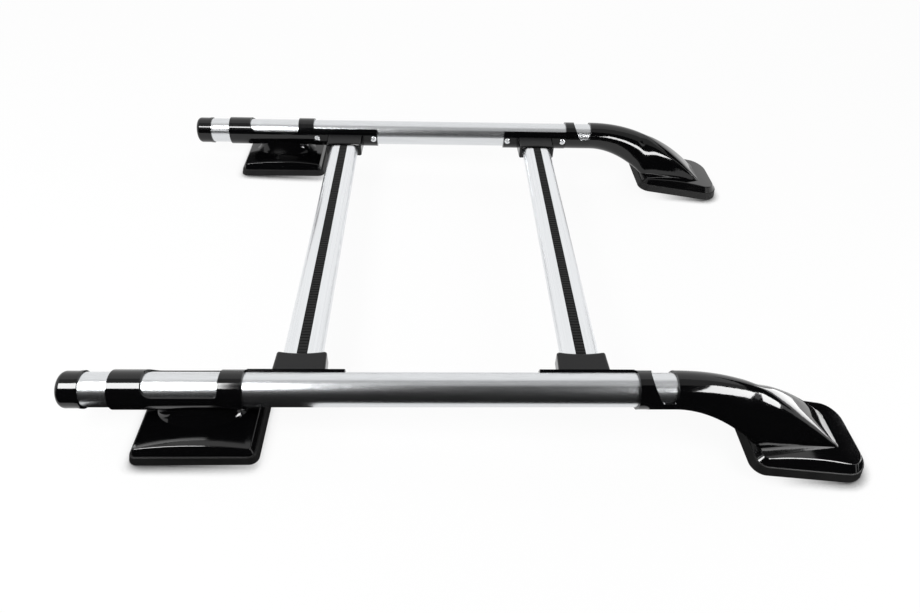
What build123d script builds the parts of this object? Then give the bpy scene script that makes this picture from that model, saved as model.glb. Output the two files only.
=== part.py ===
from build123d import *
import math
import os

# Roof rack: two side rails on moulded feet, with two crossbars bracketed between them.
# Millimetres. +X runs along the rails to the swept front feet, +Y across to the left rail, +Z up.
# It stands on Z = 0, on the rear edges of the rear pads and the front edges of the front pads.
# The right rail is modelled in rail coordinates: u along the tube from midway between the collars,
# v across from the tube axis towards the other rail, w up from the tube axis.

# Rail tubes
tube_diameter = 60.0
tube_wall = 2.5
rail_spacing = 908.0
bare_run = 669.0
tube_insertion = 24.0

# Fits
sleeve_clearance = 0.2
socket_clearance = 0.3
screw_clearance = 0.2

# Rear end of a tube, with its push-on cap
tail_length = 48.0
cap_length = 38.0
cap_grip = 20.0
cap_wall = 1.5
cap_end_wall = 3.0
cap_edge_radius = 9.0
cap_bead_length = 5.0
cap_bead_height = 0.8

# Rear foot: collar with a window, neck and base
collar_wall = 4.0
rear_collar_length = 219.0
rear_band_width = 54.0
rear_window_length = 126.0
rear_window_floor = 13.0
rear_window_rear_radius = 20.0
rear_window_front_radius = 6.0
neck_half_length = 73.0
neck_half_width = 46.0
neck_flare = 4.0
neck_top_half_length = 68.0
neck_top_half_width = 30.0

# Rear pad
rear_pad_drop = 77.0
rear_pad_overhang = 27.0
rear_pad_length = 216.0
rear_pad_width = 197.0
rear_pad_corner = 16.0
rear_gasket_thickness = 14.0
rear_base_draft = 20.0

# Moulded bases, rear and front alike
base_inset = 7.0
base_edge_height = 25.0
base_arch = 8.0
base_crest_radius = 2.5
gasket_draft = 16.0
gasket_edge_radius = 2.0

# Front foot: collar with a window, and the arm swept down to the base
front_band_top_width = 22.5
front_band_floor_width = 39.5
front_window_floor = 1.5
front_window_floor_length = 22.5
front_window_bulge = 4.0
front_window_bulge_height = 25.5
front_window_rear_radius = 8.0
front_window_front_radius = 5.0
arm_start = 69.5
belly_landing_setback = 227.0
crown_landing_setback = 57.0
arm_sink = 6.0
arm_rear_half_width = 44.0
arm_nose_half_width = 41.0
arm_crown_narrowing = 0.35
arm_crown_fall = 2.15
arm_crown_squareness = 4.0
arm_belly_squareness = 4.0
arm_belly_flat = 4.0
arm_bend_sections = 8
arm_nose_sections = 8
arm_flank_points = 12

# Front pad
front_pad_drop = 152.5
front_reach = 443.0
front_pad_pitch = 9.1
front_pad_length = 235.0
front_pad_rear_width = 182.0
front_pad_front_width = 178.0
front_pad_offset = 4.0
front_pad_rear_corner = 26.0
front_pad_front_corner = 55.0
front_gasket_thickness = 17.0
front_base_draft = 40.0

# Crossbars: hollow aluminium extrusions with a rubber strip in the accessory channel
bar_spacing = 502.0
bar_width = 72.0
bar_thickness = 26.0
bar_wall = 2.0
bar_end = 38.0
bar_top = 5.0
strip_width = 18.6
strip_clearance = 0.2
strip_seat_depth = 3.0
channel_mouth = 11.0
channel_lip = 2.5
channel_width = 19.0
channel_depth = 7.0
strip_stem_depth = 6.0
rib_pitch = 7.5
rib_width = 4.0
rib_height = 1.0

# Brackets: a saddle plate round the inboard side of the tube, and a socket for the bar end
saddle_length = 166.0
saddle_thickness = 5.0
saddle_upper_angle = 40.0
saddle_lower_angle = 80.0
socket_reach = 80.0
socket_root_width = 96.0
socket_lip_width = 89.0
socket_roof = 4.4
socket_floor = 4.0
socket_horn = 5.0
socket_horn_radius = 4.0
socket_edge_radius = 6.0
screw_land_width = 17.0
screw_land_rise = 0.3

# Fasteners and threaded inserts
bracket_screw_spacing = 147.0
bracket_screw_head = 15.5
bracket_screw_head_height = 4.5
bracket_screw_head_rim = 1.5
bracket_screw_shank = 6.0
bracket_screw_length = 20.0
bar_screw_head = 11.0
bar_screw_head_height = 3.5
bar_screw_head_rim = 1.2
bar_screw_shank = 5.0
bar_screw_length = 14.0
bar_screw_setback = 24.0
insert_diameter = 12.0
insert_bore = 6.8
insert_length = 10.0
insert_spacing = 120.0
gasket_hole = 16.0

# Positions along and across the rail
tube_radius = tube_diameter / 2
sleeve_radius = tube_radius + sleeve_clearance
collar_radius = tube_radius + collar_wall
rear_collar_front = -bare_run / 2
rear_collar_rear = rear_collar_front - rear_collar_length
cap_front = rear_collar_rear - tail_length
cap_rear = cap_front - cap_length
tube_rear = cap_front - cap_grip
front_collar_rear = bare_run / 2
arm_u = front_collar_rear + arm_start
tube_front = arm_u + tube_insertion
rear_pad_front = rear_collar_front + rear_pad_overhang
rear_pad_rear = rear_pad_front - rear_pad_length
front_pad_front = front_collar_rear + front_reach
bar_middle = bar_top - bar_thickness / 2
cap_radius = sleeve_radius + cap_wall
saddle_radius = sleeve_radius + saddle_thickness
screw_seat = saddle_radius + screw_land_rise
bar_length = rail_spacing - 2 * bar_end

# The rails climb towards the front because the front pads hang lower than the rear ones.
rail_rise = math.atan2(front_pad_drop - rear_pad_drop, front_pad_front - rear_pad_rear)
rise_cos = math.cos(rail_rise)
rise_sin = math.sin(rail_rise)
rail_height = rear_pad_drop * rise_cos - rear_pad_rear * rise_sin
cap_flat_radius = cap_radius - cap_edge_radius
rear_extent = cap_edge_radius + cap_flat_radius * rise_sin - (cap_rear + cap_edge_radius) * rise_cos
front_extent = front_pad_front * rise_cos + front_pad_drop * rise_sin
rail_middle = (rear_extent - front_extent) / 2

RAIL = Plane(
    origin=(rail_middle, -rail_spacing / 2, rail_height),
    x_dir=(rise_cos, 0, rise_sin),
    z_dir=(-rise_sin, 0, rise_cos),
)


def section(u):
    """Plane across the rail at u, with sketch coordinates (v, w)."""
    return Plane(origin=RAIL.from_local_coords((u, 0, 0)), x_dir=RAIL.y_dir, z_dir=RAIL.x_dir)


def side(u, v):
    """Upright plane along the rail through (u, v), with sketch coordinates (u, w), facing outboard."""
    return Plane(origin=RAIL.from_local_coords((u, v, 0)), x_dir=RAIL.x_dir, z_dir=-RAIL.y_dir)


def level(u, w):
    """Plane parallel to both rails through (u, w), with sketch coordinates (u, v)."""
    return Plane(origin=RAIL.from_local_coords((u, 0, w)), x_dir=RAIL.x_dir, z_dir=RAIL.z_dir)


def pitched(u, w, pitch):
    """Plane through (u, w) along the rail and across it, turned nose down by the pitch in degrees."""
    turn = math.radians(pitch)
    forward = RAIL.x_dir * math.cos(turn) - RAIL.z_dir * math.sin(turn)
    upward = RAIL.x_dir * math.sin(turn) + RAIL.z_dir * math.cos(turn)
    return Plane(origin=RAIL.from_local_coords((u, 0, w)), x_dir=forward, z_dir=upward)


REAR_PAD = level(rear_pad_rear + rear_pad_length / 2, -rear_pad_drop)
FRONT_EDGE = pitched(front_pad_front, -front_pad_drop, front_pad_pitch)
FRONT_PAD = Plane(
    origin=FRONT_EDGE.from_local_coords((-front_pad_length / 2, -front_pad_offset, 0)),
    x_dir=FRONT_EDGE.x_dir,
    z_dir=FRONT_EDGE.z_dir,
)


def on_front_pad(setback, height):
    """Rail coordinates of a point behind the front edge of the front pad and above its underside."""
    return RAIL.to_local_coords(FRONT_EDGE.from_local_coords((-setback, 0, height)))


belly_foot = on_front_pad(belly_landing_setback, front_gasket_thickness + arm_sink)
nose_foot = on_front_pad(crown_landing_setback, front_gasket_thickness + arm_sink)
crown_foot = on_front_pad(crown_landing_setback, base_edge_height + base_arch / 2)


def save(piece, name):
    """Label one finished piece and write it to its own file."""
    piece.label = name
    export_step(piece, f"parts/{name}.step")


def save_pair(piece, name):
    """Write a piece of the right rail, and its mirror image on the left rail."""
    save(piece, name.format(side="right"))
    save(mirror(piece, about=Plane.XZ), name.format(side="left"))


def pad_outline(plane, length, rear_width, front_width, rear_corner, front_corner, inset=0.0):
    """Rounded four-sided outline of a pad, set in evenly from its largest size."""
    with BuildSketch(plane) as outline:
        with BuildLine():
            Polyline(
                (-length / 2, -rear_width / 2),
                (length / 2, -front_width / 2),
                (length / 2, front_width / 2),
                (-length / 2, rear_width / 2),
                close=True,
            )
        make_face()
        fillet(outline.vertices().group_by(Axis.X)[0], rear_corner)
        fillet(outline.vertices().group_by(Axis.X)[-1], front_corner)
        if inset > 0:
            offset(amount=-inset, mode=Mode.REPLACE)
    return outline.sketch


def rear_outline(height, inset=0.0):
    """Outline of the rear pad at a height above its underside."""
    return pad_outline(
        REAR_PAD.offset(height),
        rear_pad_length,
        rear_pad_width,
        rear_pad_width,
        rear_pad_corner,
        rear_pad_corner,
        inset,
    )


def front_outline(height, inset=0.0):
    """Outline of the front pad at a height above its underside."""
    return pad_outline(
        FRONT_PAD.offset(height),
        front_pad_length,
        front_pad_rear_width,
        front_pad_front_width,
        front_pad_rear_corner,
        front_pad_front_corner,
        inset,
    )


def arch_profile(pad, length):
    """Side view of a base, level underneath and arched along its top."""
    upright = Plane(origin=pad.origin, x_dir=pad.x_dir, z_dir=-RAIL.y_dir)
    with BuildSketch(upright) as profile:
        with BuildLine():
            Polyline(
                (-length / 2, base_edge_height),
                (-length / 2, 0),
                (length / 2, 0),
                (length / 2, base_edge_height),
            )
            ThreePointArc(
                (length / 2, base_edge_height),
                (0, base_edge_height + base_arch),
                (-length / 2, base_edge_height),
            )
        make_face()
    return profile.sketch


def disc(plane, diameter, bore=0.0):
    """Round outline about a plane's origin, with a bore through it if one is given."""
    with BuildSketch(plane) as outline:
        Circle(diameter / 2)
        if bore > 0:
            Circle(bore / 2, mode=Mode.SUBTRACT)
    return outline.sketch


def insert_planes(pad, height):
    """Planes of a pad's two threaded inserts, at a height above its underside."""
    return [
        Plane(origin=pad.from_local_coords((along, 0, height)), x_dir=pad.x_dir, z_dir=pad.z_dir)
        for along in (-insert_spacing / 2, insert_spacing / 2)
    ]


def arm_section(u):
    """Outline across the swept arm at u, from the collar to its nose on the base."""
    bend = min((u - arm_u) / (belly_foot.X - arm_u), 1)
    along_base = max((u - belly_foot.X) / (nose_foot.X - belly_foot.X), 0)
    fall = (u - arm_u) / (crown_foot.X - arm_u)
    crown = collar_radius + (crown_foot.Z - collar_radius) * fall**arm_crown_fall
    belly = -collar_radius + (belly_foot.Z + collar_radius) * bend**2
    belly += (nose_foot.Z - belly_foot.Z) * along_base
    half_width = collar_radius + (arm_rear_half_width - collar_radius) * bend**2
    half_width += (arm_nose_half_width - arm_rear_half_width) * along_base
    half_height = (crown - belly) / 2
    narrowing = arm_crown_narrowing * bend**2 * (1 - along_base)
    belly_power = 2 / (2 + arm_belly_squareness * bend**2)
    crown_power = 2 / (2 + arm_crown_squareness * along_base)
    flank = []
    for step in range(1, arm_flank_points):
        angle = math.pi * (step / arm_flank_points - 0.5)
        power = crown_power if angle > 0 else belly_power
        height = math.copysign(abs(math.sin(angle)) ** power, angle)
        width = math.cos(angle) ** power * (1 - narrowing * height)
        flank.append(Vector(half_width * width, (crown + belly) / 2 + half_height * height))
    belly_edge = Vector(arm_belly_flat / 2, belly)
    half = [belly_edge] + flank
    other_half = [Vector(-point.X, point.Y) for point in reversed(half)]
    with BuildSketch(section(u)) as outline:
        with BuildLine():
            Spline(*half, (0, crown), *other_half, tangents=[(1, 0), (1, 0)])
            Line(other_half[-1], half[0])
        make_face()
    return outline.sketch


def saddle_arc(radius):
    """Arc of a bracket saddle about the tube, from its lower edge up to its upper edge."""
    angles = (-saddle_lower_angle, (saddle_upper_angle - saddle_lower_angle) / 2, saddle_upper_angle)
    return ThreePointArc(*[Vector(radius, 0).rotate(Axis.Z, angle) for angle in angles])


def pan_screw(plane, head, head_height, head_rim, shank, length):
    """Half outline of a pan-head screw with its seat at the plane's origin and its head towards +y."""
    with BuildSketch(plane) as outline:
        with BuildLine():
            Polyline(
                (0, head_height),
                (0, -length),
                (shank / 2, -length),
                (shank / 2, 0),
                (head / 2, 0),
                (head / 2, head_rim),
            )
            TangentArc((0, head_height), (head / 2, head_rim), tangent=(1, 0))
        make_face()
    return outline.sketch


os.makedirs("parts", exist_ok=True)

bar_positions = {"rear": -bar_spacing / 2, "front": bar_spacing / 2}
bracket_screw_positions = [
    bar_u + shift
    for bar_u in bar_positions.values()
    for shift in (-bracket_screw_spacing / 2, bracket_screw_spacing / 2)
]
bracket_screw_hole = bracket_screw_shank + 2 * screw_clearance
bar_screw_hole = bar_screw_shank + 2 * screw_clearance

# Rail tube, with a hole in its inboard side for each bracket screw
with BuildPart() as rail_tube:
    with BuildSketch(section(tube_rear)):
        Circle(tube_radius)
        Circle(tube_radius - tube_wall, mode=Mode.SUBTRACT)
    extrude(amount=tube_front - tube_rear)
    for screw_u in bracket_screw_positions:
        extrude(
            disc(side(screw_u, tube_radius), bracket_screw_hole),
            amount=tube_radius,
            mode=Mode.SUBTRACT,
        )
save_pair(rail_tube.part, "{side}_rail_tube")

# Rail end cap: a push-on cup with a rounded end and a bead round its mouth
with BuildPart() as rail_end_cap:
    with BuildSketch(section(cap_rear)):
        Circle(cap_radius)
    extrude(amount=cap_length)
    fillet(rail_end_cap.faces().sort_by(Axis(RAIL.origin, RAIL.x_dir))[0].edges(), cap_edge_radius)
    with BuildSketch(section(cap_front)):
        Circle(cap_radius + cap_bead_height)
    extrude(amount=-cap_bead_length)
    with BuildSketch(section(cap_front)):
        Circle(sleeve_radius)
    extrude(amount=-cap_grip, mode=Mode.SUBTRACT)
    with BuildSketch(section(cap_rear + cap_end_wall)):
        Circle(cap_flat_radius)
    extrude(amount=cap_length - cap_grip, mode=Mode.SUBTRACT)
save_pair(rail_end_cap.part, "{side}_rail_end_cap")

# Rear foot: arched base, flared neck, and a collar cut away in a long window
with BuildPart() as rear_foot:
    extrude(
        rear_outline(rear_gasket_thickness, base_inset),
        amount=base_edge_height + base_arch - rear_gasket_thickness,
        taper=rear_base_draft,
    )
    extrude(
        arch_profile(REAR_PAD, rear_pad_length),
        amount=rear_pad_width,
        both=True,
        mode=Mode.INTERSECT,
    )
    crest = rear_foot.faces().sort_by(Axis(REAR_PAD.origin, REAR_PAD.z_dir))[-1]
    fillet(crest.edges(), base_crest_radius)
    neck_u = rear_pad_rear + rear_pad_length / 2
    neck_foot = base_edge_height + base_arch - rear_pad_drop
    with BuildSketch(level(neck_u, neck_foot - neck_flare)):
        Ellipse(neck_half_length + neck_flare, neck_half_width + neck_flare)
    with BuildSketch(level(neck_u, neck_foot)):
        Ellipse(neck_half_length, neck_half_width)
    with BuildSketch(level(neck_u, -collar_radius / 2)):
        Ellipse(neck_top_half_length, neck_top_half_width)
    loft()
    with BuildSketch(section(rear_collar_rear)):
        Circle(collar_radius)
    extrude(amount=rear_collar_length)
    with BuildSketch(section(rear_collar_rear)):
        Circle(sleeve_radius)
    extrude(amount=rear_collar_length, mode=Mode.SUBTRACT)
    window_rear = rear_band_width
    window_front = rear_band_width + rear_window_length
    with BuildSketch(side(rear_collar_rear, 0)) as window:
        with BuildLine():
            Polyline(
                (window_rear, 2 * collar_radius),
                (window_rear, rear_window_floor),
                (window_front, rear_window_floor),
                (window_front, 2 * collar_radius),
                close=True,
            )
        make_face()
        floor_corners = window.vertices().group_by(Axis.Y)[0].sort_by(Axis.X)
        fillet(floor_corners[0], rear_window_rear_radius)
        fillet(window.vertices().group_by(Axis.Y)[0].sort_by(Axis.X)[-1], rear_window_front_radius)
    extrude(amount=2 * collar_radius, both=True, mode=Mode.SUBTRACT)
    for pocket in insert_planes(REAR_PAD, rear_gasket_thickness):
        extrude(disc(pocket, insert_diameter), amount=insert_length, mode=Mode.SUBTRACT)
save_pair(rear_foot.part, "{side}_rear_foot")

# Rear gasket: drafted rubber pad with clearance holes for the roof bolts
with BuildPart() as rear_gasket:
    extrude(rear_outline(0), amount=rear_gasket_thickness, taper=gasket_draft)
    gasket_top = rear_gasket.faces().sort_by(Axis(REAR_PAD.origin, REAR_PAD.z_dir))[-1]
    fillet(gasket_top.edges(), gasket_edge_radius)
    for hole in insert_planes(REAR_PAD, 0):
        extrude(disc(hole, gasket_hole), amount=rear_gasket_thickness, mode=Mode.SUBTRACT)
save_pair(rear_gasket.part, "{side}_rear_foot_gasket")

# Front foot: pitched base, and the arm that sweeps up from it into a collar with a window
with BuildPart() as front_foot:
    extrude(
        front_outline(front_gasket_thickness, base_inset),
        amount=base_edge_height + base_arch - front_gasket_thickness,
        taper=front_base_draft,
    )
    extrude(
        arch_profile(FRONT_PAD, front_pad_length),
        amount=front_pad_rear_width,
        both=True,
        mode=Mode.INTERSECT,
    )
    crest = front_foot.faces().sort_by(Axis(FRONT_PAD.origin, FRONT_PAD.z_dir))[-1]
    fillet(crest.edges(), base_crest_radius)
    bend_step = (belly_foot.X - arm_u) / arm_bend_sections
    nose_step = (crown_foot.X - belly_foot.X) / arm_nose_sections
    stations = [arm_u + bend_step * step for step in range(arm_bend_sections)]
    stations += [belly_foot.X + nose_step * step for step in range(arm_nose_sections + 1)]
    loft([arm_section(u) for u in stations])
    extrude(arm_section(arm_u), amount=-arm_start)
    with BuildSketch(section(front_collar_rear)):
        Circle(sleeve_radius)
    extrude(amount=arm_start + tube_insertion + sleeve_clearance, mode=Mode.SUBTRACT)
    window_floor_front = front_band_floor_width + front_window_floor_length
    with BuildSketch(side(front_collar_rear, 0)) as window:
        with BuildLine():
            Polyline(
                (window_floor_front, 2 * collar_radius),
                (front_band_top_width, 2 * collar_radius),
                (front_band_top_width, collar_radius),
                (front_band_floor_width, front_window_floor),
                (window_floor_front, front_window_floor),
            )
            ThreePointArc(
                (window_floor_front, front_window_floor),
                (window_floor_front + front_window_bulge, front_window_bulge_height),
                (window_floor_front, 2 * collar_radius),
            )
        make_face()
        fillet(window.vertices().group_by(Axis.Y)[0].sort_by(Axis.X)[0], front_window_rear_radius)
        fillet(window.vertices().group_by(Axis.Y)[0].sort_by(Axis.X)[-1], front_window_front_radius)
    extrude(amount=2 * collar_radius, both=True, mode=Mode.SUBTRACT)
    for pocket in insert_planes(FRONT_PAD, front_gasket_thickness):
        extrude(disc(pocket, insert_diameter), amount=insert_length, mode=Mode.SUBTRACT)
save_pair(front_foot.part, "{side}_front_foot")

# Front gasket
with BuildPart() as front_gasket:
    extrude(front_outline(0), amount=front_gasket_thickness, taper=gasket_draft)
    gasket_top = front_gasket.faces().sort_by(Axis(FRONT_PAD.origin, FRONT_PAD.z_dir))[-1]
    fillet(gasket_top.edges(), gasket_edge_radius)
    for hole in insert_planes(FRONT_PAD, 0):
        extrude(disc(hole, gasket_hole), amount=front_gasket_thickness, mode=Mode.SUBTRACT)
save_pair(front_gasket.part, "{side}_front_foot_gasket")

# Crossbars, their strips, and the brackets that hold them to the rails
seat_floor = bar_top - strip_seat_depth
channel_roof = seat_floor - channel_lip
channel_floor = channel_roof - channel_depth
housing_bottom = channel_floor - bar_wall
bar_screw_v = bar_end + bar_screw_setback
for bar, bar_u in bar_positions.items():
    mid_plane = side(bar_u, rail_spacing / 2)

    with BuildPart() as crossbar:
        with BuildSketch(mid_plane):
            with Locations((0, bar_middle)):
                SlotOverall(bar_width, bar_thickness)
                SlotOverall(bar_width - 2 * bar_wall, bar_thickness - 2 * bar_wall, mode=Mode.SUBTRACT)
            with Locations((0, (bar_top - bar_wall / 2 + housing_bottom) / 2)):
                Rectangle(strip_width + 2 * bar_wall, bar_top - bar_wall / 2 - housing_bottom)
            with Locations((0, bar_top)):
                Rectangle(
                    strip_width + 2 * strip_clearance,
                    2 * strip_seat_depth,
                    mode=Mode.SUBTRACT,
                )
            with Locations((0, seat_floor)):
                Rectangle(channel_mouth, 2 * channel_lip, mode=Mode.SUBTRACT)
            with Locations((0, channel_roof - channel_depth / 2)):
                Rectangle(channel_width, channel_depth, mode=Mode.SUBTRACT)
        extrude(amount=bar_length / 2, both=True)
        for screw_v in (bar_screw_v, rail_spacing - bar_screw_v):
            screw_plane = Plane(
                origin=RAIL.from_local_coords((bar_u, screw_v, bar_top - bar_thickness)),
                x_dir=RAIL.x_dir,
                z_dir=RAIL.z_dir,
            )
            extrude(disc(screw_plane, bar_screw_hole), amount=2 * bar_wall, mode=Mode.SUBTRACT)
    save(crossbar.part, f"{bar}_crossbar")

    with BuildPart() as crossbar_strip:
        with BuildSketch(mid_plane):
            with Locations((0, (seat_floor + bar_top - rib_height) / 2)):
                Rectangle(strip_width, strip_seat_depth - rib_height)
            with Locations((0, seat_floor - strip_stem_depth / 2)):
                Rectangle(channel_mouth - 2 * strip_clearance, strip_stem_depth)
        extrude(amount=bar_length / 2, both=True)
        rib_plane = Plane(
            origin=RAIL.from_local_coords((bar_u, rail_spacing / 2, bar_top - rib_height)),
            x_dir=RAIL.x_dir,
            z_dir=RAIL.z_dir,
        )
        with BuildSketch(rib_plane):
            with GridLocations(0, rib_pitch, 1, int((bar_length - rib_width) / rib_pitch) + 1):
                Rectangle(strip_width, rib_width)
        extrude(amount=rib_height)
    save(crossbar_strip.part, f"{bar}_crossbar_strip")

    with BuildPart() as bracket:
        socket_bottom = bar_top - bar_thickness - socket_floor
        with BuildSketch(level(bar_u, socket_bottom)) as socket_plan:
            with BuildLine():
                Polyline(
                    (-socket_lip_width / 2, socket_reach + socket_horn),
                    (-socket_root_width / 2, 0),
                    (socket_root_width / 2, 0),
                    (socket_lip_width / 2, socket_reach + socket_horn),
                )
                ThreePointArc(
                    (socket_lip_width / 2, socket_reach + socket_horn),
                    (0, socket_reach),
                    (-socket_lip_width / 2, socket_reach + socket_horn),
                )
            make_face()
            fillet(socket_plan.vertices().group_by(Axis.Y)[-1], socket_horn_radius)
        extrude(amount=bar_thickness + socket_floor + socket_roof)
        flanks = bracket.edges().filter_by(GeomType.LINE)
        flanks = flanks.filter_by(lambda edge: abs(edge.tangent_at(0.5).dot(RAIL.y_dir)) > 0.99)
        fillet(flanks, socket_edge_radius)
        with BuildSketch(section(bar_u)):
            Circle(sleeve_radius + saddle_thickness / 2)
        extrude(amount=saddle_length, both=True, mode=Mode.SUBTRACT)
        with BuildSketch(section(bar_u)):
            with BuildLine():
                outer = saddle_arc(saddle_radius)
                inner = saddle_arc(sleeve_radius)
                Line(outer @ 0, inner @ 0)
                Line(outer @ 1, inner @ 1)
            make_face()
            with Locations((screw_seat - saddle_thickness / 4, 0)):
                Rectangle(saddle_thickness / 2, screw_land_width)
        extrude(amount=saddle_length / 2, both=True)
        with BuildSketch(side(bar_u, bar_end - socket_clearance)):
            with Locations((0, bar_middle)):
                SlotOverall(bar_width + 2 * socket_clearance, bar_thickness + 2 * socket_clearance)
        extrude(amount=-bar_length, mode=Mode.SUBTRACT)
        for shift in (-bracket_screw_spacing / 2, bracket_screw_spacing / 2):
            land_plane = side(bar_u + shift, screw_seat)
            extrude(
                disc(land_plane, bracket_screw_hole),
                amount=tube_radius,
                both=True,
                mode=Mode.SUBTRACT,
            )
        floor_plane = Plane(
            origin=RAIL.from_local_coords((bar_u, bar_screw_v, socket_bottom)),
            x_dir=RAIL.x_dir,
            z_dir=RAIL.z_dir,
        )
        extrude(
            disc(floor_plane, bar_screw_hole),
            amount=2 * socket_floor,
            both=True,
            mode=Mode.SUBTRACT,
        )
    save_pair(bracket.part, bar + "_crossbar_{side}_bracket")

# Pan-head screws through the saddle ends into the tubes
with BuildPart() as bracket_screws:
    for screw_u in bracket_screw_positions:
        seat = RAIL.from_local_coords((screw_u, screw_seat, 0))
        screw_plane = Plane(origin=seat, x_dir=RAIL.x_dir, z_dir=RAIL.z_dir)
        revolve(
            pan_screw(
                screw_plane,
                bracket_screw_head,
                bracket_screw_head_height,
                bracket_screw_head_rim,
                bracket_screw_shank,
                bracket_screw_length,
            ),
            axis=Axis(seat, RAIL.y_dir),
        )
    mirror(about=Plane.XZ)
save(bracket_screws.part, "bracket_screws")

# Screws from below through the socket floors into the bars
with BuildPart() as bar_screws:
    for bar_u in bar_positions.values():
        seat = RAIL.from_local_coords((bar_u, bar_screw_v, bar_top - bar_thickness - socket_floor))
        screw_plane = Plane(origin=seat, x_dir=RAIL.x_dir, z_dir=RAIL.y_dir)
        revolve(
            pan_screw(
                screw_plane,
                bar_screw_head,
                bar_screw_head_height,
                bar_screw_head_rim,
                bar_screw_shank,
                bar_screw_length,
            ),
            axis=Axis(seat, RAIL.z_dir),
        )
    mirror(about=Plane.XZ)
save(bar_screws.part, "bar_screws")

# Threaded inserts in the undersides of the feet
with BuildPart() as roof_inserts:
    for insert in insert_planes(REAR_PAD, rear_gasket_thickness):
        extrude(disc(insert, insert_diameter, insert_bore), amount=insert_length)
    for insert in insert_planes(FRONT_PAD, front_gasket_thickness):
        extrude(disc(insert, insert_diameter, insert_bore), amount=insert_length)
    mirror(about=Plane.XZ)
save(roof_inserts.part, "roof_inserts")
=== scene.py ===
"""Looks of a roof rack: two tubular side rails on moulded feet, joined by two crossbars.

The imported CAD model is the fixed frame. Its nodes get their finishes here, the plain
bracket screws are replaced by cross-recessed ones, and a studio is set up round the rack.
"""

import logging
import math
from dataclasses import dataclass, field
from enum import Enum
from typing import Any

import bpy
from mathutils import Euler, Matrix, Vector


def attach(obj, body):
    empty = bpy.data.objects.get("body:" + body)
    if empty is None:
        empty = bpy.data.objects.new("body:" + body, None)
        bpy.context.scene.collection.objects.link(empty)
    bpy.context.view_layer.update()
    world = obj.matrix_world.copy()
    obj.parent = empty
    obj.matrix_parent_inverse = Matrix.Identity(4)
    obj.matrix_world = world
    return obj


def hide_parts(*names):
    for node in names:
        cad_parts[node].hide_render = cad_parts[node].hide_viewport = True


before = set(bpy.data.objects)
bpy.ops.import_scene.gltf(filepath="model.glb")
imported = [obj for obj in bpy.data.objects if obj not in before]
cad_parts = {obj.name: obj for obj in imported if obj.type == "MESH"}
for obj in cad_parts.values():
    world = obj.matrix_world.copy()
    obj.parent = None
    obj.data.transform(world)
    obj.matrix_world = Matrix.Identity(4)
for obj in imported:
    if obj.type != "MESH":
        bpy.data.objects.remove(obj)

log = logging.getLogger("roof_rack")

MM = 0.001
BODY = "root"

# Most values of a noise lie between these two.
NOISE_LOW, NOISE_HIGH = 0.3, 0.7
# Sockets of a colour mix: its two colours and its result.
MIX_FIRST, MIX_SECOND, MIX_RESULT = 6, 7, 2
# How near a face has to be to a direction and a height to be picked.
SAME_WAY, SAME_HEIGHT = 0.99, 0.01 * MM
# How bright a black card is in a gloss surface.
BLACK = 0.01


class Side(Enum):
    """A rail's place across the rack, with the sign of its Y."""

    RIGHT = -1
    LEFT = 1


class Bar(Enum):
    """A crossbar's place along the rails, with the sign of its distance from the middle."""

    REAR = -1
    FRONT = 1


class Grain(Enum):
    """The way that a metal was drawn: its pattern's scale along X, Y and Z, 0 along the lines."""

    ALONG_RAIL = (0, 1, 1)
    ALONG_BAR = (1, 0, 1)
    NONE = (1, 1, 1)


def linear(code: str) -> tuple[float, float, float, float]:
    """Turns an sRGB hex colour into Blender's linear one.

    Args:
        code: the colour as "#rrggbb".

    Returns:
        Linear red, green and blue, and an alpha of 1.
    """
    channels = [int(code[i : i + 2], 16) / 255 for i in (1, 3, 5)]
    red, green, blue = [
        c / 12.92 if c <= 0.04045 else ((c + 0.055) / 1.055) ** 2.4 for c in channels
    ]
    return red, green, blue, 1.0


def add_node(
    tree: bpy.types.NodeTree,
    kind: str,
    inputs: dict[Any, Any] | None = None,
    **settings: Any,
) -> bpy.types.Node:
    """Adds one node to a tree.

    Args:
        tree: the node tree.
        kind: the node's type name.
        inputs: input name or number to a value, or to the socket that is linked to it.
        **settings: the node's own properties.

    Returns:
        The new node.
    """
    node = tree.nodes.new(kind)
    for name, value in settings.items():
        setattr(node, name, value)
    for key, value in (inputs or {}).items():
        if isinstance(value, bpy.types.NodeSocket):
            tree.links.new(value, node.inputs[key])
        else:
            node.inputs[key].default_value = value
    return node


def empty_tree(owner: bpy.types.Material | bpy.types.World) -> bpy.types.NodeTree:
    """Gives a material or a world a node tree with nothing in it.

    Args:
        owner: the material or the world.

    Returns:
        Its empty node tree.
    """
    owner.use_nodes = True
    owner.node_tree.nodes.clear()
    return owner.node_tree


def facing(place: tuple[float, float, float], aim: tuple[float, float, float]) -> Euler:
    """Works out how a lamp or a card is turned to face a point.

    Args:
        place: where it is.
        aim: the point.

    Returns:
        Its rotation.
    """
    return (Vector(aim) - Vector(place)).to_track_quat("-Z", "Y").to_euler()


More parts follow.
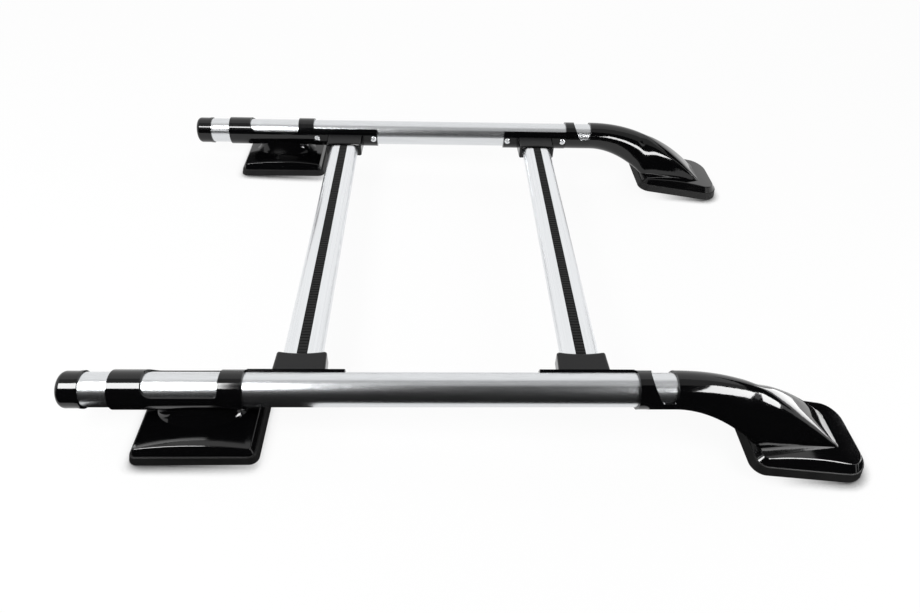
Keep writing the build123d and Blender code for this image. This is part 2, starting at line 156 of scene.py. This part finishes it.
@dataclass(frozen=True)
class RailFrame:
    """The rail's own axes in the rack: u along the tube, v across from mid-plane, w up.

    Attributes:
        middle: X of the point midway between the collars.
        height: Z of that point, on the tube's axis.
        rise: how much the tube leans up toward the front.
        spacing: distance between the two tubes' axes.
    """

    middle: float = -72.637 * MM
    height: float = 107.2 * MM
    rise: float = math.radians(3.3213)
    spacing: float = 908 * MM

    def direction(self, u: float, v: float, w: float) -> Vector:
        """Turns a rail direction into the rack's frame.

        Args:
            u: share along the tube.
            v: share across the rack.
            w: share upwards, square to the tube.

        Returns:
            The same direction in the rack's frame.
        """
        cos, sin = math.cos(self.rise), math.sin(self.rise)
        return Vector((u * cos - w * sin, v, u * sin + w * cos))

    def point(self, u: float, v: float, w: float) -> Vector:
        """Turns rail coordinates into a point of the rack.

        Args:
            u: distance along the tube from midway between the collars.
            v: distance across from the mid-plane.
            w: height above the tube's axis.

        Returns:
            The point in the rack's frame.
        """
        return Vector((self.middle, 0, self.height)) + self.direction(u, v, w)


RAIL = RailFrame()


@dataclass(frozen=True)
class Finish:
    """A surface finish, with what all of them share.

    Attributes:
        name: the real material and how its surface was made.
        colour: its sRGB hex colour.
        roughness: its typical roughness.
    """

    name: str
    colour: str
    roughness: float

    def material(self) -> bpy.types.Material:
        """Builds the finish as a material, or finds it if it is there already.

        Returns:
            The material.
        """
        made = bpy.data.materials.get(self.name)
        if made:
            return made
        made = bpy.data.materials.new(self.name)
        tree = empty_tree(made)
        shader = add_node(
            tree,
            "ShaderNodeBsdfPrincipled",
            {"Base Color": linear(self.colour), "Roughness": self.roughness},
        )
        add_node(tree, "ShaderNodeOutputMaterial", {"Surface": shader.outputs["BSDF"]})
        self.detail(tree, shader)
        return made

    def detail(self, tree: bpy.types.NodeTree, shader: bpy.types.Node) -> None:
        """Adds the finish's own pattern to its shader.

        Args:
            tree: the material's node tree.
            shader: its Principled shader.
        """

    def noise(
        self,
        tree: bpy.types.NodeTree,
        size: float,
        stretch: tuple[float, float, float] = Grain.NONE.value,
        layers: float = 2.0,
    ) -> bpy.types.NodeSocket:
        """Adds a noise of a real size, level with the rails.

        Args:
            tree: the material's node tree.
            size: the width of its features in metres.
            stretch: scale along X, Y and Z, smaller where features are longer.
            layers: how many finer layers it has.

        Returns:
            The socket with the noise value from 0 to 1.
        """
        where = add_node(tree, "ShaderNodeTexCoord")
        turned = add_node(
            tree,
            "ShaderNodeMapping",
            {"Vector": where.outputs["Object"], "Rotation": (0, RAIL.rise, 0), "Scale": stretch},
        )
        made = add_node(
            tree,
            "ShaderNodeTexNoise",
            {"Vector": turned.outputs["Vector"], "Scale": 1 / size, "Detail": layers},
        )
        return made.outputs["Fac"]

    def spread(
        self, tree: bpy.types.NodeTree, value: bpy.types.NodeSocket, low: float, high: float
    ) -> bpy.types.NodeSocket:
        """Spreads the middle of a noise over a range.

        Args:
            tree: the material's node tree.
            value: the noise.
            low: what its low values become.
            high: what its high values become.

        Returns:
            The socket with the new value.
        """
        made = add_node(
            tree,
            "ShaderNodeMapRange",
            {
                "Value": value,
                "From Min": NOISE_LOW,
                "From Max": NOISE_HIGH,
                "To Min": low,
                "To Max": high,
            },
        )
        return made.outputs["Result"]

    def tint(
        self,
        tree: bpy.types.NodeTree,
        shader: bpy.types.Node,
        colour: str,
        share: bpy.types.NodeSocket,
    ) -> None:
        """Mixes a second colour into the finish's own.

        Args:
            tree: the material's node tree.
            shader: its Principled shader.
            colour: the second colour as sRGB hex.
            share: how much of it shows, from 0 to 1.
        """
        made = add_node(
            tree,
            "ShaderNodeMix",
            {"Factor": share, MIX_FIRST: linear(self.colour), MIX_SECOND: linear(colour)},
            data_type="RGBA",
        )
        tree.links.new(made.outputs[MIX_RESULT], shader.inputs["Base Color"])

    def relief(
        self,
        tree: bpy.types.NodeTree,
        shader: bpy.types.Node,
        height: bpy.types.NodeSocket,
        depth: float,
        strength: float | bpy.types.NodeSocket = 1.0,
    ) -> None:
        """Gives the surface a fine relief.

        Args:
            tree: the material's node tree.
            shader: its Principled shader.
            height: the relief from 0 to 1.
            depth: its real depth in metres.
            strength: how much of it shows.
        """
        made = add_node(
            tree, "ShaderNodeBump", {"Height": height, "Distance": depth, "Strength": strength}
        )
        tree.links.new(made.outputs["Normal"], shader.inputs["Normal"])


@dataclass(frozen=True)
class AnodisedAluminium(Finish):
    """Drawn or extruded aluminium, clear anodised: a satin metal, faintly lined along its length.

    The real die lines are a few hundredths of a millimetre wide. They are drawn coarser, so
    that they show in the render.
    """

    grain: Grain = Grain.ALONG_RAIL
    line_width: float = 1.6 * MM
    line_length: float = 260 * MM
    line_depth: float = 0.001 * MM
    haze: float = 0.01
    bright_colour: str = "#e0e2e4"

    def detail(self, tree: bpy.types.NodeTree, shader: bpy.types.Node) -> None:
        """Adds the drawing lines and an uneven satin.

        Args:
            tree: the material's node tree.
            shader: its Principled shader.
        """
        shader.inputs["Metallic"].default_value = 1.0
        along = self.line_width / self.line_length
        lines = self.noise(tree, self.line_width, tuple(k or along for k in self.grain.value))
        satin = self.spread(tree, lines, self.roughness - self.haze, self.roughness + self.haze)
        tree.links.new(satin, shader.inputs["Roughness"])
        self.tint(tree, shader, self.bright_colour, self.spread(tree, lines, 0.0, 1.0))
        self.relief(tree, shader, lines, self.line_depth)


@dataclass(frozen=True)
class GlossABS(Finish):
    """High-gloss ABS from a polished mould: a deep black mirror with a faint orange peel."""

    peel_size: float = 9 * MM
    peel_depth: float = 0.006 * MM
    smear_size: float = 70 * MM
    smear_layers: float = 4.0
    smear_dulling: float = 2.2
    shine: float = 0.45

    def detail(self, tree: bpy.types.NodeTree, shader: bpy.types.Node) -> None:
        """Adds a faint orange peel and a few wiped smears.

        Args:
            tree: the material's node tree.
            shader: its Principled shader.
        """
        shader.inputs["Specular IOR Level"].default_value = self.shine
        smears = self.noise(tree, self.smear_size, layers=self.smear_layers)
        dulled = self.spread(tree, smears, self.roughness, self.roughness * self.smear_dulling)
        tree.links.new(dulled, shader.inputs["Roughness"])
        self.relief(tree, shader, self.noise(tree, self.peel_size), self.peel_depth)


@dataclass(frozen=True)
class GlassFilledNylon(Finish):
    """Moulded nylon with polished flanks and a fine-grained top: black, and a lighter charcoal on
    the top face that is painted light from above.
    """

    # Painted light: the top face's lighter charcoal stands in for the light that falls on it from
    # above.
    top_painted_light_colour: str = "#121213"
    shine: float = 0.3
    top_roughness: float = 0.55
    grain_size: float = 1.6 * MM
    grain_depth: float = 0.05 * MM
    top_starts: float = 0.90
    top_full: float = 0.985

    def detail(self, tree: bpy.types.NodeTree, shader: bpy.types.Node) -> None:
        """Adds the grained top, found by the way its face looks: a rougher grained surface, and a
        lighter colour there that is painted light from above.

        Args:
            tree: the material's node tree.
            shader: its Principled shader.
        """
        shader.inputs["Specular IOR Level"].default_value = self.shine
        faces = add_node(tree, "ShaderNodeNewGeometry")
        upward = add_node(
            tree,
            "ShaderNodeVectorMath",
            {0: faces.outputs["True Normal"], 1: RAIL.direction(0, 0, 1)},
            operation="DOT_PRODUCT",
        )
        top = add_node(
            tree,
            "ShaderNodeMapRange",
            {
                "Value": upward.outputs["Value"],
                "From Min": self.top_starts,
                "From Max": self.top_full,
            },
            interpolation_type="SMOOTHSTEP",
        ).outputs["Result"]
        dull = add_node(
            tree,
            "ShaderNodeMapRange",
            {"Value": top, "To Min": self.roughness, "To Max": self.top_roughness},
        )
        tree.links.new(dull.outputs["Result"], shader.inputs["Roughness"])
        # Painted light: upward faces are tinted lighter for the light from above; their roughness
        # and grain are the real finish.
        self.tint(tree, shader, self.top_painted_light_colour, top)
        grains = self.noise(tree, self.grain_size)
        self.relief(tree, shader, grains, self.grain_depth, top)


@dataclass(frozen=True)
class MouldedRubber(Finish):
    """Moulded or extruded EPDM rubber: a soft black with a fine skin and paler bloom in places."""

    bloom_colour: str = "#171717"
    shine: float = 0.2
    bloom_size: float = 45 * MM
    bloom_layers: float = 3.0
    skin_size: float = 2.2 * MM
    skin_depth: float = 0.06 * MM

    def detail(self, tree: bpy.types.NodeTree, shader: bpy.types.Node) -> None:
        """Adds the bloom and the moulded skin.

        Args:
            tree: the material's node tree.
            shader: its Principled shader.
        """
        shader.inputs["Specular IOR Level"].default_value = self.shine
        bloom = self.noise(tree, self.bloom_size, layers=self.bloom_layers)
        self.tint(tree, shader, self.bloom_colour, self.spread(tree, bloom, 0.0, 1.0))
        self.relief(tree, shader, self.noise(tree, self.skin_size), self.skin_depth)


@dataclass(frozen=True)
class PlatedMetal(Finish):
    """Turned or plated metal of small fasteners: bright, with slight unevenness in the plate."""

    spot_size: float = 3 * MM
    bright_share: float = 0.7
    dull_share: float = 1.4

    def detail(self, tree: bpy.types.NodeTree, shader: bpy.types.Node) -> None:
        """Makes it a metal with an uneven plate.

        Args:
            tree: the material's node tree.
            shader: its Principled shader.
        """
        shader.inputs["Metallic"].default_value = 1.0
        spots = self.noise(tree, self.spot_size)
        bright, dull = self.roughness * self.bright_share, self.roughness * self.dull_share
        uneven = self.spread(tree, spots, bright, dull)
        tree.links.new(uneven, shader.inputs["Roughness"])


TUBE_METAL = AnodisedAluminium("anodised_aluminium_drawn_tube", "#d6d8da", 0.26)
BAR_METAL = AnodisedAluminium(
    "anodised_aluminium_extruded_bar",
    "#e4e6e8",
    0.28,
    grain=Grain.ALONG_BAR,
    line_width=2.4 * MM,
    bright_colour="#eceef0",
)
FOOT_PLASTIC = GlossABS("abs_moulded_high_gloss_black", "#060607", 0.05)
BRACKET_PLASTIC = GlassFilledNylon("nylon_moulded_black", "#070708", 0.12)
PAD_RUBBER = MouldedRubber("epdm_rubber_moulded_black", "#0d0d0d", 0.55)
STRIP_RUBBER = MouldedRubber(
    "epdm_rubber_extruded_ribbed", "#121212", 0.50, bloom_colour="#1a1a1a", bloom_size=120 * MM
)
SCREW_METAL = PlatedMetal("zinc_plated_steel_screw", "#dfe1e3", 0.16)
INSERT_METAL = PlatedMetal("brass_turned_insert", "#c8a25a", 0.22)


def deselect() -> None:
    if bpy.context.object and bpy.context.object.mode != "OBJECT":
        bpy.ops.object.mode_set(mode="OBJECT")
    bpy.ops.object.select_all(action="DESELECT")


def select_faces(piece: bpy.types.Object, way: Vector, at: float) -> None:
    """Selects, in edit mode, the faces that look one way and lie at one height along it.

    Args:
        piece: the object in edit mode.
        way: the way the faces look.
        at: their distance from the origin along it.
    """
    bpy.ops.mesh.select_mode(type="FACE")
    bpy.ops.mesh.select_all(action="DESELECT")
    bpy.ops.object.mode_set(mode="OBJECT")
    for face in piece.data.polygons:
        off = abs(face.center.dot(way) - at)
        face.select = face.normal.dot(way) > SAME_WAY and off < SAME_HEIGHT
    bpy.ops.object.mode_set(mode="EDIT")


def coat(piece: bpy.types.Object, finish: Finish) -> None:
    """Puts one finish on a whole object.

    Args:
        piece: the object.
        finish: its finish.
    """
    piece.data.materials.clear()
    piece.data.materials.append(finish.material())
    log.info("%s: %s", piece.name, finish.name)


def coat_node(node: str, finish: Finish) -> None:
    """Puts one finish on a CAD node.

    Args:
        node: the node's name.
        finish: its finish.
    """
    coat(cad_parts[node], finish)


@dataclass
class CrossScrew:
    """A pan-head screw with a cross recess, modelled along Z with its seat at the origin."""

    head_radius: float = 7.75 * MM
    head_height: float = 4.5 * MM
    rim: float = 1.5 * MM
    shank_radius: float = 3.0 * MM
    length: float = 20 * MM
    recess_reach: float = 4.4 * MM
    recess_width: float = 1.9 * MM
    recess_depth: float = 3.0 * MM
    recess_taper: float = 0.45
    dome_steps: int = 6
    dome_turn: float = math.radians(80)
    dome_fullness: float = 0.6
    smooth_angle: float = math.radians(28)
    facets: int = 40

    def model(self) -> bpy.types.Object:
        """Models one screw.

        Returns:
            The screw as an object at the origin.
        """
        deselect()
        bpy.ops.mesh.primitive_cylinder_add(
            vertices=self.facets,
            radius=self.head_radius,
            depth=self.rim,
            location=(0, 0, self.rim / 2),
        )
        screw = bpy.context.object
        bpy.ops.object.transform_apply(location=True, rotation=False, scale=False)
        bpy.ops.object.mode_set(mode="EDIT")
        select_faces(screw, Vector((0, 0, 1)), self.rim)
        height, radius = self.rim, self.head_radius
        for step in range(1, self.dome_steps + 1):
            turn = self.dome_turn * step / self.dome_steps
            new_height = self.rim + (self.head_height - self.rim) * math.sin(turn)
            new_radius = self.head_radius * math.cos(turn) ** self.dome_fullness
            bpy.ops.mesh.extrude_region_move(
                TRANSFORM_OT_translate={"value": (0, 0, new_height - height)}
            )
            share = new_radius / radius
            bpy.ops.transform.resize(value=(share, share, 1), center_override=(0, 0, new_height))
            height, radius = new_height, new_radius
        select_faces(screw, Vector((0, 0, -1)), 0.0)
        bpy.ops.mesh.inset(thickness=self.head_radius - self.shank_radius)
        bpy.ops.mesh.extrude_region_move(TRANSFORM_OT_translate={"value": (0, 0, -self.length)})
        bpy.ops.object.mode_set(mode="OBJECT")
        for quarter in (0, math.pi / 2):
            self.cut_slot(screw, quarter, height)
        bpy.ops.object.shade_smooth_by_angle(angle=self.smooth_angle)
        return screw

    def cut_slot(self, screw: bpy.types.Object, turn: float, top: float) -> None:
        """Cuts one tapered slot of the cross into the head.

        Args:
            screw: the screw.
            turn: the slot's angle about the screw's axis.
            top: the height of the head's crown.
        """
        deselect()
        bpy.ops.mesh.primitive_cube_add(size=1, location=(0, 0, top), rotation=(0, 0, turn))
        cutter = bpy.context.object
        cutter.scale = (2 * self.recess_reach, self.recess_width, 2 * self.recess_depth)
        bpy.ops.object.transform_apply(location=True, rotation=True, scale=True)
        bpy.ops.object.mode_set(mode="EDIT")
        select_faces(cutter, Vector((0, 0, -1)), self.recess_depth - top)
        taper = self.recess_taper
        bottom = (0, 0, top - self.recess_depth)
        bpy.ops.transform.resize(value=(taper, taper, 1), center_override=bottom)
        bpy.ops.object.mode_set(mode="OBJECT")
        deselect()
        screw.select_set(True)
        bpy.context.view_layer.objects.active = screw
        cut = screw.modifiers.new("recess", "BOOLEAN")
        cut.object = cutter
        cut.operation = "DIFFERENCE"
        cut.solver = "EXACT"
        bpy.ops.object.modifier_apply(modifier=cut.name)
        bpy.data.objects.remove(cutter)


@dataclass
class SideRail:
    """One rail: its tube and end cap, and a rear and a front foot on their rubber pads."""

    side: Side
    finishes: dict[str, Finish] = field(
        default_factory=lambda: {
            "rail_tube": TUBE_METAL,
            "rail_end_cap": FOOT_PLASTIC,
            "rear_foot": FOOT_PLASTIC,
            "rear_foot_gasket": PAD_RUBBER,
            "front_foot": FOOT_PLASTIC,
            "front_foot_gasket": PAD_RUBBER,
        }
    )

    def dress(self) -> None:
        """Puts each finish on its node of this rail."""
        for piece, finish in self.finishes.items():
            coat_node(f"{self.side.name.lower()}_{piece}", finish)


@dataclass
class Crossbar:
    """One crossbar: the extrusion, its rubber strip, two brackets and their screws."""

    bar: Bar
    bar_distance: float = 251 * MM
    screw_shift: float = 73.5 * MM
    screw_seat: float = 35.5 * MM
    screw_turn: float = math.radians(17)
    screw_turn_step: float = math.radians(38)

    def dress(self) -> None:
        """Puts each finish on its node of this crossbar."""
        name = f"{self.bar.name.lower()}_crossbar"
        coat_node(name, BAR_METAL)
        coat_node(f"{name}_strip", STRIP_RUBBER)
        for side in Side:
            coat_node(f"{name}_{side.name.lower()}_bracket", BRACKET_PLASTIC)

    def fit_screws(self, pattern: bpy.types.Object) -> None:
        """Puts a copy of the screw in each hole of the two brackets.

        Args:
            pattern: the screw, along Z with its seat at the origin.
        """
        number = 0
        for side in Side:
            inward = Vector((0, -side.value, 0))
            for end in (-1, 1):
                u = self.bar.value * self.bar_distance + end * self.screw_shift
                v = side.value * (RAIL.spacing / 2 - self.screw_seat)
                screw = pattern.copy()
                screw.data = pattern.data.copy()
                screw.name = f"{self.bar.name.lower()}_{side.name.lower()}_screw_{number % 2 + 1}"
                bpy.context.scene.collection.objects.link(screw)
                spin = Matrix.Rotation(self.screw_turn + number * self.screw_turn_step, 4, "Z")
                lean = inward.to_track_quat("Z", "Y").to_matrix().to_4x4()
                screw.data.transform(Matrix.Translation(RAIL.point(u, v, 0)) @ lean @ spin)
                coat(screw, SCREW_METAL)
                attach(screw, BODY)
                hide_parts("bracket_screws")
                number += 1


@dataclass
class Fasteners:
    """The fasteners that keep their CAD shape: screws under the sockets, inserts in the feet."""

    finishes: dict[str, Finish] = field(
        default_factory=lambda: {"bar_screws": SCREW_METAL, "roof_inserts": INSERT_METAL}
    )

    def dress(self) -> None:
        """Puts each finish on its node."""
        for node, finish in self.finishes.items():
            coat_node(node, finish)


@dataclass
class Card:
    """A flat card that only reflections see: a lamp's face, or a photographer's black card.

    Attributes:
        name: its name.
        place: its middle.
        size: its two sides.
        level: how bright it is.
        aim: the point that it faces, or None where it lies flat.
    """

    name: str
    place: tuple[float, float, float]
    size: tuple[float, float]
    level: float = BLACK
    aim: tuple[float, float, float] | None = None

    def build(self) -> None:
        """Sets up the card."""
        deselect()
        x, y, z = self.place
        turn = facing(self.place, self.aim or (x, y, z - 1))
        bpy.ops.mesh.primitive_plane_add(size=1, location=self.place, rotation=turn)
        card = bpy.context.object
        card.name = self.name
        card.scale = (*self.size, 1)
        card.visible_camera = False
        card.visible_diffuse = False
        card.visible_shadow = False
        made = bpy.data.materials.new(self.name)
        tree = empty_tree(made)
        glow = add_node(tree, "ShaderNodeEmission", {"Strength": self.level})
        add_node(tree, "ShaderNodeOutputMaterial", {"Surface": glow.outputs[0]})
        card.data.materials.append(made)
        log.info("%s: card", self.name)


@dataclass
class Softbox:
    """A flat studio lamp.

    Attributes:
        name: its name.
        place: where it hangs.
        aim: the point that it faces.
        size: its two sides.
        power: its power in watts.
        face: how bright its face is in a gloss surface, or 0 where none shows it.
    """

    name: str
    place: tuple[float, float, float]
    aim: tuple[float, float, float]
    size: tuple[float, float]
    power: float
    face: float = 0.0

    def build(self) -> None:
        """Hangs the lamp, with its face."""
        data = bpy.data.lights.new(self.name, "AREA")
        data.shape = "RECTANGLE"
        data.size, data.size_y = self.size
        data.energy = self.power
        lamp = bpy.data.objects.new(self.name, data)
        bpy.context.scene.collection.objects.link(lamp)
        lamp.location = self.place
        lamp.rotation_euler = facing(self.place, self.aim)
        lamp.visible_glossy = False
        if self.face:
            Card(f"{self.name}_face", self.place, self.size, self.face, self.aim).build()
        log.info("%s: lamp", self.name)


@dataclass
class Studio:
    """The floor, the lamps, the cards and the camera of the photograph."""

    floor_size: float = 16.0
    floor_colour: str = "#f4f4f4"
    floor_glow: float = 0.93
    # The floor is shaded close to the pads, on the side that the camera sees.
    contact_reach: float = 22 * MM
    contact_from: tuple[float, float, float] = (-0.1, 0.95, 0.3)
    contact_shade: float = 0.02
    contact_covered: float = 0.48
    contact_open: float = 0.9
    contact_samples: int = 8
    sky_colour: str = "#ffffff"
    sky_shown: float = 1.0
    sky_light: float = 0.36
    lens: float = 27.0
    camera_at: tuple[float, float, float] = (-17.0 * MM, -1236.88 * MM, 900.32 * MM)
    yaw: float = math.radians(2.98)
    pitch: float = math.radians(42.07)
    roll: float = math.radians(2.31)
    softboxes: tuple[Softbox, ...] = (
        Softbox("softbox_left", (-1.5, -1.08, 1.7), (-1.5, -0.45, 0), (0.9, 1.0), 34.0, 24.0),
        Softbox("softbox_right", (1.77, -1.28, 1.25), (1.77, -1.1, 0), (1.5, 1.3), 26.0),
        Softbox("softbox_back", (0.1, 2.9, 2.6), (0.1, 0, 0.1), (6.0, 3.0), 60.0),
    )
    cards: tuple[Card, ...] = (
        # The dark room behind the camera, and the pale ceiling that the tubes' tops mirror.
        Card("flag_front", (0, -1.95, 3.1), (9.0, 6.2), aim=(0, 0, 3.1)),
        Card("canopy", (0.6, -0.25, 2.6), (6.0, 1.7), 0.46),
        # The streak along the arms of the front feet, and the light on the near nose.
        Card("glow_arm", (1.25, -0.89, 0.8), (0.95, 0.66), 22.0),
        Card("glow_nose", (1.3, -0.05, 0.14), (0.6, 0.27), 6.0, aim=(0.8, -0.4, 0.14)),
        # Black cards that keep a lamp off the far rear foot, and the sky off the front bases.
        Card("flag_far_foot", (-0.63, 0.265, 0.2), (0.42, 0.15)),
        Card("flag_right", (3.8, 1.2, 1.75), (2.6, 3.4)),
        # Black cards on the floor, which the flanks of the near rail and its feet mirror.
        Card("flag_floor", (0, -1.26, 1 * MM), (9.0, 1.38)),
        Card("flag_rear_foot", (-0.5, -0.44, 1 * MM), (0.4, 0.3)),
        Card("flag_front_foot", (0.6, -0.44, 1 * MM), (0.55, 0.3)),
    )

    def seen(self, tree: bpy.types.NodeTree) -> bpy.types.NodeSocket:
        """Adds a test for rays that show a surface: from the camera, a gloss or through glass.

        Args:
            tree: the node tree.

        Returns:
            The socket that is 1 for those rays and 0 for light that falls on the object.
        """
        path = add_node(tree, "ShaderNodeLightPath")
        shown = add_node(
            tree,
            "ShaderNodeMath",
            {0: path.outputs["Is Camera Ray"], 1: path.outputs["Is Glossy Ray"]},
            operation="MAXIMUM",
        )
        shown = add_node(
            tree,
            "ShaderNodeMath",
            {0: shown.outputs[0], 1: path.outputs["Is Transmission Ray"]},
            operation="MAXIMUM",
        )
        return shown.outputs[0]

    def build_floor(self) -> None:
        """Lays a white floor that keeps the rack's shadow."""
        deselect()
        bpy.ops.mesh.primitive_plane_add(size=self.floor_size)
        floor = bpy.context.object
        floor.name = "studio_floor"
        made = bpy.data.materials.new("studio_floor_paper")
        tree = empty_tree(made)
        paper = add_node(tree, "ShaderNodeBsdfDiffuse", {"Color": linear(self.floor_colour)})
        lean = add_node(tree, "ShaderNodeCombineXYZ", dict(enumerate(self.contact_from)))
        nearness = add_node(
            tree,
            "ShaderNodeAmbientOcclusion",
            {"Distance": self.contact_reach, "Normal": lean.outputs[0]},
            samples=self.contact_samples,
        )
        contact = add_node(
            tree,
            "ShaderNodeMapRange",
            {
                "Value": nearness.outputs["AO"],
                "From Min": self.contact_covered,
                "From Max": self.contact_open,
                "To Min": self.contact_shade,
            },
        )
        glow = add_node(tree, "ShaderNodeEmission", {"Strength": contact.outputs["Result"]})
        lit = add_node(
            tree,
            "ShaderNodeMixShader",
            {0: self.floor_glow, 1: paper.outputs[0], 2: glow.outputs[0]},
        )
        surface = add_node(
            tree,
            "ShaderNodeMixShader",
            {0: self.seen(tree), 1: paper.outputs[0], 2: lit.outputs[0]},
        )
        add_node(tree, "ShaderNodeOutputMaterial", {"Surface": surface.outputs[0]})
        floor.data.materials.append(made)
        log.info("%s: floor", floor.name)

    def build_world(self) -> None:
        """Makes a plain white surround, dimmer where it lights the rack."""
        world = bpy.data.worlds.new("studio_surround")
        bpy.context.scene.world = world
        tree = empty_tree(world)
        level = add_node(
            tree,
            "ShaderNodeMapRange",
            {"Value": self.seen(tree), "To Min": self.sky_light, "To Max": self.sky_shown},
        )
        sky = add_node(
            tree,
            "ShaderNodeBackground",
            {"Color": linear(self.sky_colour), "Strength": level.outputs["Result"]},
        )
        add_node(tree, "ShaderNodeOutputWorld", {"Surface": sky.outputs[0]})

    def build_camera(self) -> None:
        """Sets the camera where the photograph was taken from."""
        data = bpy.data.cameras.new("photo_camera")
        data.lens = self.lens
        camera = bpy.data.objects.new("photo_camera", data)
        bpy.context.scene.collection.objects.link(camera)
        cos, sin = math.cos(self.pitch), math.sin(self.pitch)
        ahead = Vector((math.sin(self.yaw) * cos, math.cos(self.yaw) * cos, -sin))
        level = Vector((math.cos(self.yaw), -math.sin(self.yaw), 0))
        upright = level.cross(ahead)
        across = math.cos(self.roll) * level + math.sin(self.roll) * upright
        upward = -math.sin(self.roll) * level + math.cos(self.roll) * upright
        axes = [RAIL.direction(*axis) for axis in (across, upward, -ahead)]
        turn = Matrix(axes).transposed().to_4x4()
        camera.matrix_world = Matrix.Translation(RAIL.point(*self.camera_at)) @ turn
        bpy.context.scene.camera = camera
        log.info("%s: camera", camera.name)

    def build(self) -> None:
        """Sets up the whole studio."""
        bpy.context.scene.view_settings.view_transform = "Standard"
        self.build_camera()
        self.build_floor()
        self.build_world()
        for part in (*self.softboxes, *self.cards):
            part.build()


def main() -> None:
    """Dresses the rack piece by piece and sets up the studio."""
    logging.basicConfig(level=logging.INFO, format="%(name)s %(message)s")
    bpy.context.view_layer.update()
    for side in Side:
        SideRail(side).dress()
    pattern = CrossScrew().model()
    for bar in Bar:
        crossbar = Crossbar(bar)
        crossbar.dress()
        crossbar.fit_screws(pattern)
    bpy.data.objects.remove(pattern)
    Fasteners().dress()
    Studio().build()


if __name__ == "__main__":
    main()
